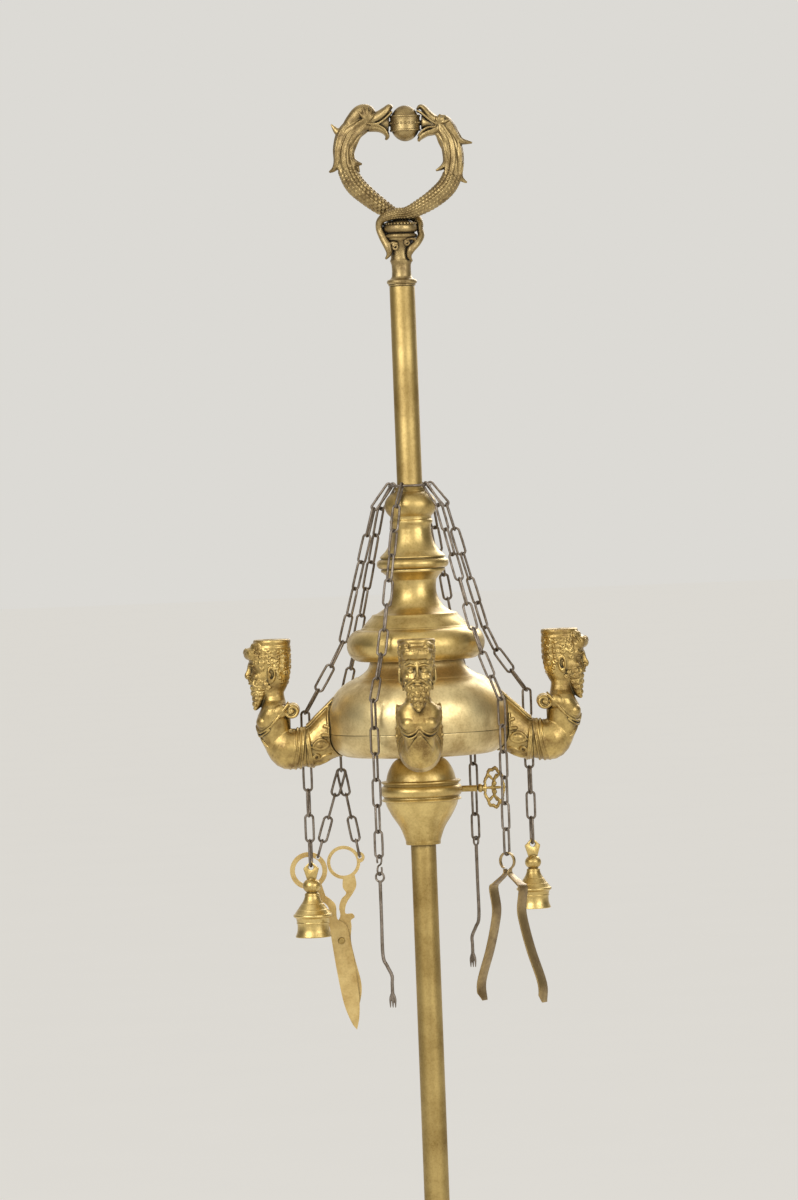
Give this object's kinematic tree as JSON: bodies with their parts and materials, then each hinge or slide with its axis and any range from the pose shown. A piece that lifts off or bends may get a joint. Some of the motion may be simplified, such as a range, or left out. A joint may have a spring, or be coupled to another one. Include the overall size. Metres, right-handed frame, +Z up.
{
  "type": "florentine oil lamp",
  "caption": "Tall brass Florentine oil lamp: a font with figure spouts slides on the stem, with a lifting lid, chained wick tools and a sea serpent handle.",
  "frame": {"origin": "centre of the foot on the floor", "axes": "+Z up along the stem, the front spout points to -Y, the thumb screw to +X"},
  "size_m": [0.323, 0.323, 1.6992],
  "materials": {
    "aged_brass": "polished brass, browned and greenish in its recesses",
    "dark_brass": "dull brown brass strip",
    "pale_brass": "pale matte sheet brass",
    "iron_wire": "dull brown-grey drawn wire",
    "cast_iron": "rough cast, hidden in the foot"
  },
  "bodies": {
    "stand": {"base_shell": "aged_brass", "base_weight": "cast_iron", "base_washer": "aged_brass", "base_nut": "aged_brass", "base_knop": "aged_brass", "stem_tube": "aged_brass", "finial_socket": "aged_brass", "handle_ball": "aged_brass", "serpent_left": "aged_brass", "serpent_right": "aged_brass"},
    "collar": {"clamp_collar": "aged_brass"},
    "screw": {"screw_shank": "aged_brass"},
    "screw_knob": {"screw_head": "aged_brass"},
    "font": {"font_bowl": "aged_brass", "font_shoulder": "aged_brass", "font_sleeve": "aged_brass", "spout_root_right": "aged_brass", "spout_figure_right": "aged_brass", "spout_root_back": "aged_brass", "spout_figure_back": "aged_brass", "spout_root_left": "aged_brass", "spout_figure_left": "aged_brass", "spout_root_front": "aged_brass", "spout_figure_front": "aged_brass"},
    "lid": {"lid_disc": "aged_brass", "lid_baluster": "aged_brass"},
    "ring": {"chain_ring": "iron_wire"},
    "chain_left_upper": {"chain_left_upper": "iron_wire"},
    "chain_left_lower": {"chain_left_lower": "iron_wire"},
    "chain_back_left_upper": {"chain_back_left_upper": "iron_wire"},
    "chain_back_left_lower": {"chain_back_left_lower": "iron_wire"},
    "chain_front_left_upper": {"chain_front_left_upper": "iron_wire"},
    "chain_front_left_lower": {"chain_front_left_lower": "iron_wire"},
    "chain_front_right_upper": {"chain_front_right_upper": "iron_wire"},
    "chain_front_right_lower": {"chain_front_right_lower": "iron_wire"},
    "chain_right_upper": {"chain_right_upper": "iron_wire"},
    "chain_right_lower": {"chain_right_lower": "iron_wire"},
    "chain_back_right_upper": {"chain_back_right_upper": "iron_wire"},
    "chain_back_right_lower": {"chain_back_right_lower": "iron_wire"},
    "extinguisher_left": {"extinguisher_left": "aged_brass"},
    "extinguisher_right": {"extinguisher_right": "aged_brass"},
    "pick_back": {"pick_back": "iron_wire"},
    "pick_front": {"pick_s_hook": "iron_wire", "pick_front": "iron_wire"},
    "tweezers": {"tweezer_bow": "dark_brass"},
    "scissor_link": {"scissor_link": "iron_wire"},
    "scissor_left_chain": {"scissor_chain_left": "iron_wire"},
    "scissors": {"scissor_blade_left": "pale_brass", "scissor_rivet": "aged_brass"},
    "scissor_right": {"scissor_blade_right": "pale_brass"},
    "scissor_right_chain": {"scissor_chain_right": "iron_wire"},
    "tweezer_right": {"tweezer_arm_right": "dark_brass"},
    "tweezer_left": {"tweezer_arm_left": "dark_brass"}
  },
  "joints": [
    {"name": "font_height", "type": "slide", "parent": "stand", "child": "collar", "axis": [0, 0, 1], "range_m": [-0.6, 0.095]},
    {"name": "screw_back_out", "type": "slide", "parent": "collar", "child": "screw", "axis": [1, 0, 0], "range_m": [0, 0.00375]},
    {"name": "screw_turn", "type": "hinge", "parent": "screw", "child": "screw_knob", "pos_m": [0.053, 0, 1.0483], "axis": [1, 0, 0], "range_deg": [0, 1081]},
    {"name": "font_turn", "type": "hinge", "parent": "collar", "child": "font", "pos_m": [0, 0, 1.0826], "axis": [0, 0, 1], "continuous": true},
    {"name": "lid_lift", "type": "slide", "parent": "font", "child": "lid", "axis": [0, 0, 1], "range_m": [0, 0.055]},
    {"name": "ring_lift", "type": "slide", "parent": "lid", "child": "ring", "axis": [0, 0, 1], "range_m": [0, 0.025]},
    {"name": "chain_left_upper_swing", "type": "hinge", "parent": "ring", "child": "chain_left_upper", "pos_m": [-0.01955, 0.00137, 1.338], "axis": [0.0698, 0.9976, 0], "range_deg": [0, 25]},
    {"name": "chain_left_lower_swing", "type": "hinge", "parent": "chain_left_upper", "child": "chain_left_lower", "pos_m": [-0.10795, 0.02792, 1.1238], "axis": [0.2504, 0.9681, 0], "range_deg": [-5, 35]},
    {"name": "chain_back_left_upper_swing", "type": "hinge", "parent": "ring", "child": "chain_back_left_upper", "pos_m": [-0.01565, 0.0118, 1.338], "axis": [0.6018, 0.7986, 0], "range_deg": [0, 25]},
    {"name": "chain_back_left_lower_swing", "type": "hinge", "parent": "chain_back_left_upper", "child": "chain_back_left_lower", "pos_m": [-0.07597, 0.05999, 1.1142], "axis": [0, 1, 0], "range_deg": [-12, 12]},
    {"name": "chain_front_left_upper_swing", "type": "hinge", "parent": "ring", "child": "chain_front_left_upper", "pos_m": [-0.0075, -0.01811, 1.338], "axis": [-0.9239, 0.3827, 0], "range_deg": [0, 25]},
    {"name": "chain_front_left_lower_swing", "type": "hinge", "parent": "chain_front_left_upper", "child": "chain_front_left_lower", "pos_m": [-0.04204, -0.08697, 1.1378], "axis": [-0.9003, 0.4352, 0], "range_deg": [-5, 35]},
    {"name": "chain_front_right_upper_swing", "type": "hinge", "parent": "ring", "child": "chain_front_right_upper", "pos_m": [0.01501, -0.0126, 1.338], "axis": [-0.6428, -0.766, 0], "range_deg": [0, 25]},
    {"name": "chain_front_right_lower_swing", "type": "hinge", "parent": "chain_front_right_upper", "child": "chain_front_right_lower", "pos_m": [0.07803, -0.05795, 1.1338], "axis": [-0.5962, -0.8028, 0], "range_deg": [-5, 35]},
    {"name": "chain_right_upper_swing", "type": "hinge", "parent": "ring", "child": "chain_right_upper", "pos_m": [0.01941, 0.00273, 1.338], "axis": [0.1392, -0.9903, 0], "range_deg": [0, 25]},
    {"name": "chain_right_lower_swing", "type": "hinge", "parent": "chain_right_upper", "child": "chain_right_lower", "pos_m": [0.10398, 0.02806, 1.1378], "axis": [0.2605, -0.9655, 0], "range_deg": [-5, 35]},
    {"name": "chain_back_right_upper_swing", "type": "hinge", "parent": "ring", "child": "chain_back_right_upper", "pos_m": [0.01068, 0.01644, 1.338], "axis": [0.8387, -0.5446, 0], "range_deg": [0, 25]},
    {"name": "chain_back_right_lower_swing", "type": "hinge", "parent": "chain_back_right_upper", "child": "chain_back_right_lower", "pos_m": [0.051, 0.08098, 1.1398], "axis": [0.8462, -0.5329, 0], "range_deg": [-5, 35]},
    {"name": "extinguisher_left_swing", "type": "hinge", "parent": "chain_left_lower", "child": "extinguisher_left", "pos_m": [-0.10795, 0.02792, 0.978], "axis": [0.2504, 0.9681, 0], "range_deg": [-20, 35]},
    {"name": "extinguisher_right_swing", "type": "hinge", "parent": "chain_right_lower", "child": "extinguisher_right", "pos_m": [0.10398, 0.02806, 0.992], "axis": [0.2605, -0.9655, 0], "range_deg": [-20, 35]},
    {"name": "pick_back_swing", "type": "hinge", "parent": "chain_back_right_lower", "child": "pick_back", "pos_m": [0.051, 0.08098, 0.994], "axis": [0.8462, -0.5329, 0], "range_deg": [-20, 35]},
    {"name": "pick_front_swing", "type": "hinge", "parent": "chain_front_left_lower", "child": "pick_front", "pos_m": [-0.04204, -0.08697, 0.992], "axis": [-0.9003, 0.4352, 0], "range_deg": [-20, 35]},
    {"name": "tweezers_swing", "type": "hinge", "parent": "chain_front_right_lower", "child": "tweezers", "pos_m": [0.07803, -0.05795, 0.988], "axis": [-0.5962, -0.8028, 0], "range_deg": [-5, 35]},
    {"name": "scissor_link_swing", "type": "hinge", "parent": "chain_back_left_lower", "child": "scissor_link", "pos_m": [-0.07597, 0.05999, 1.0899], "axis": [1, 0, 0], "range_deg": [-2, 35]},
    {"name": "scissor_left_chain_swing", "type": "hinge", "parent": "scissor_link", "child": "scissor_left_chain", "pos_m": [-0.07597, 0.0588, 1.0656], "axis": [0, 1, 0], "range_deg": [0, 9.1]},
    {"name": "scissors_tilt", "type": "hinge", "parent": "scissor_left_chain", "child": "scissors", "pos_m": [-0.10164, 0.05865, 0.9842], "axis": [0, 1, 0], "range_deg": [-16.4, 0]},
    {"name": "scissors_open", "type": "hinge", "parent": "scissors", "child": "scissor_right", "pos_m": [-0.08197, 0.05999, 0.90306], "axis": [0, 1, 0], "range_deg": [0, 18]},
    {"name": "scissor_right_chain_swing", "type": "hinge", "parent": "scissor_right", "child": "scissor_right_chain", "pos_m": [-0.06157, 0.06134, 0.98306], "axis": [0, 1, 0], "range_deg": [-19.5, 0]},
    {"name": "tweezer_right_close", "type": "hinge", "parent": "tweezers", "child": "tweezer_right", "pos_m": [0.08022, -0.05958, 0.97417], "axis": [0.5962, 0.8028, 0], "range_deg": [0, 14], "stiffness_Nm_per_rad": 1.2},
    {"name": "tweezer_left_close", "type": "hinge", "parent": "tweezers", "child": "tweezer_left", "pos_m": [0.07585, -0.05633, 0.97417], "axis": [0.5962, 0.8028, 0], "range_deg": [-14, 0], "stiffness_Nm_per_rad": 1.2}
  ],
  "couplings": [
    {"joint": "screw_turn", "follows": "screw_back_out", "rad_per_m": 5026.5},
    {"joint": "scissor_left_chain_swing", "follows": "scissors_open", "ratio": 0.5},
    {"joint": "scissors_tilt", "follows": "scissors_open", "ratio": -0.90522},
    {"joint": "scissor_right_chain_swing", "follows": "scissors_open", "ratio": -1.0751},
    {"joint": "tweezer_left_close", "follows": "tweezer_right_close", "ratio": -1}
  ]
}
